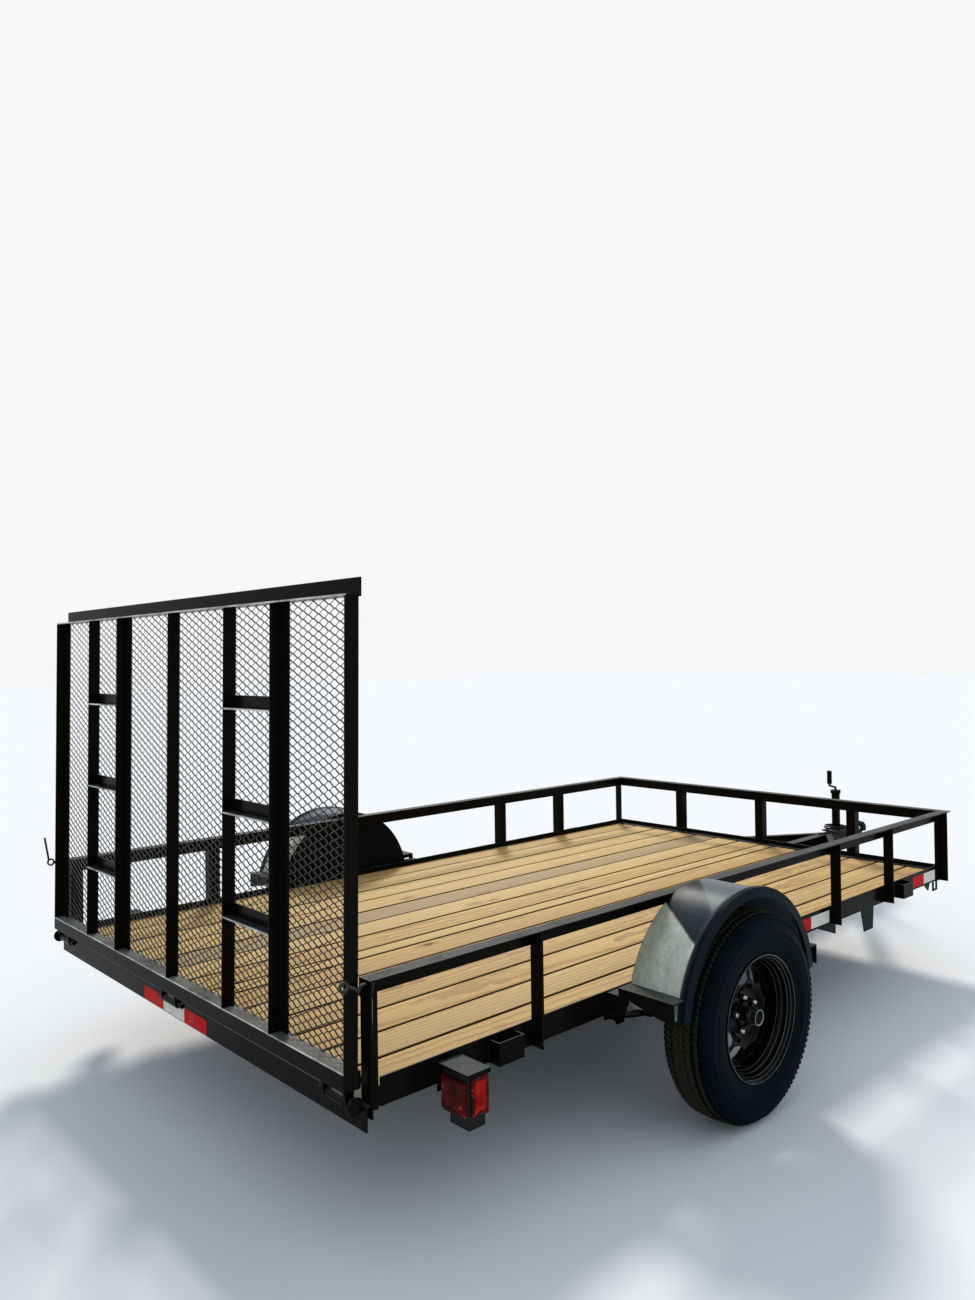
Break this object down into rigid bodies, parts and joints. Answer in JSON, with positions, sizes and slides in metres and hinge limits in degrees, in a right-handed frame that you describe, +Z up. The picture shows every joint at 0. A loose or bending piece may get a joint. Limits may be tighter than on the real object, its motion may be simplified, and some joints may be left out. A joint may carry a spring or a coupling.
{
  "type": "utility trailer",
  "caption": "Open utility trailer with a plank deck, low angle-iron rails, round fenders, a folding mesh ramp gate and a jack on its tongue.",
  "frame": {"origin": "on the ground under the middle of the trailer's length and width", "axes": "+X forward to the coupler, +Y to the trailer's left, +Z up"},
  "size_m": [4.9278, 2.66, 1.7525],
  "materials": {
    "gloss_black_paint": "gloss",
    "pine": "rough sawn",
    "tyre_rubber": "matte",
    "wheel_black": "gloss",
    "cap_steel": "satin",
    "chrome": "polished",
    "fender_black": "satin",
    "red_lens": "gloss",
    "black_plastic": "matte",
    "zinc": "satin",
    "mesh_black": "satin"
  },
  "bodies": {
    "chassis": {"axle_beam": "gloss_black_paint", "board_clamp": "gloss_black_paint", "coupler_body": "gloss_black_paint", "coupler_latch": "gloss_black_paint", "crossmembers": "gloss_black_paint", "deck_boards": "pine", "fender_brackets": "gloss_black_paint", "fender_left": "fender_black", "fender_right": "fender_black", "front_header": "gloss_black_paint", "front_rail": "gloss_black_paint", "gate_catches": "gloss_black_paint", "hinge_sleeves": "gloss_black_paint", "jack_crank": "gloss_black_paint", "jack_plate": "gloss_black_paint", "jack_tube": "gloss_black_paint", "lamp_boxes": "black_plastic", "lamp_guards": "gloss_black_paint", "lamp_lenses": "red_lens", "leaf_springs": "gloss_black_paint", "rail_posts": "gloss_black_paint", "rear_sill": "gloss_black_paint", "side_frames": "gloss_black_paint", "side_rails": "gloss_black_paint", "side_tabs": "gloss_black_paint", "spring_hangers": "gloss_black_paint", "stake_pockets": "gloss_black_paint", "tongue_beam": "gloss_black_paint", "tongue_braces": "gloss_black_paint", "tongue_nose": "gloss_black_paint", "wiring_coil": "black_plastic", "wiring_plug": "black_plastic"},
    "gate": {"gate_bottom_rail": "gloss_black_paint", "gate_hinge_pins": "gloss_black_paint", "gate_mesh_falling": "mesh_black", "gate_mesh_rising": "mesh_black", "gate_rungs": "gloss_black_paint", "gate_top_rail": "gloss_black_paint", "gate_uprights": "gloss_black_paint"},
    "jack_leg": {"jack_leg": "zinc"},
    "wheel_left": {"hub_cap_left": "cap_steel", "hub_left": "wheel_black", "lug_nuts_left": "chrome", "rim_left": "wheel_black", "tyre_left": "tyre_rubber"},
    "wheel_right": {"hub_cap_right": "cap_steel", "hub_right": "wheel_black", "lug_nuts_right": "chrome", "rim_right": "wheel_black", "tyre_right": "tyre_rubber"}
  },
  "joints": [
    {"name": "wheel_left_spin", "type": "hinge", "parent": "chassis", "child": "wheel_left", "pos_m": [-0.98212, 1.242, 0.3445], "axis": [0, 1, 0], "continuous": true},
    {"name": "wheel_right_spin", "type": "hinge", "parent": "chassis", "child": "wheel_right", "pos_m": [-0.98212, -1.242, 0.3445], "axis": [0, 1, 0], "continuous": true},
    {"name": "gate_fold", "type": "hinge", "parent": "chassis", "child": "gate", "pos_m": [-2.40512, 0, 0.431], "axis": [0, -1, 0], "range_deg": [0, 109]},
    {"name": "jack_lift", "type": "slide", "parent": "chassis", "child": "jack_leg", "axis": [0, 0, 1], "range_m": [0, 0.23]}
  ]
}
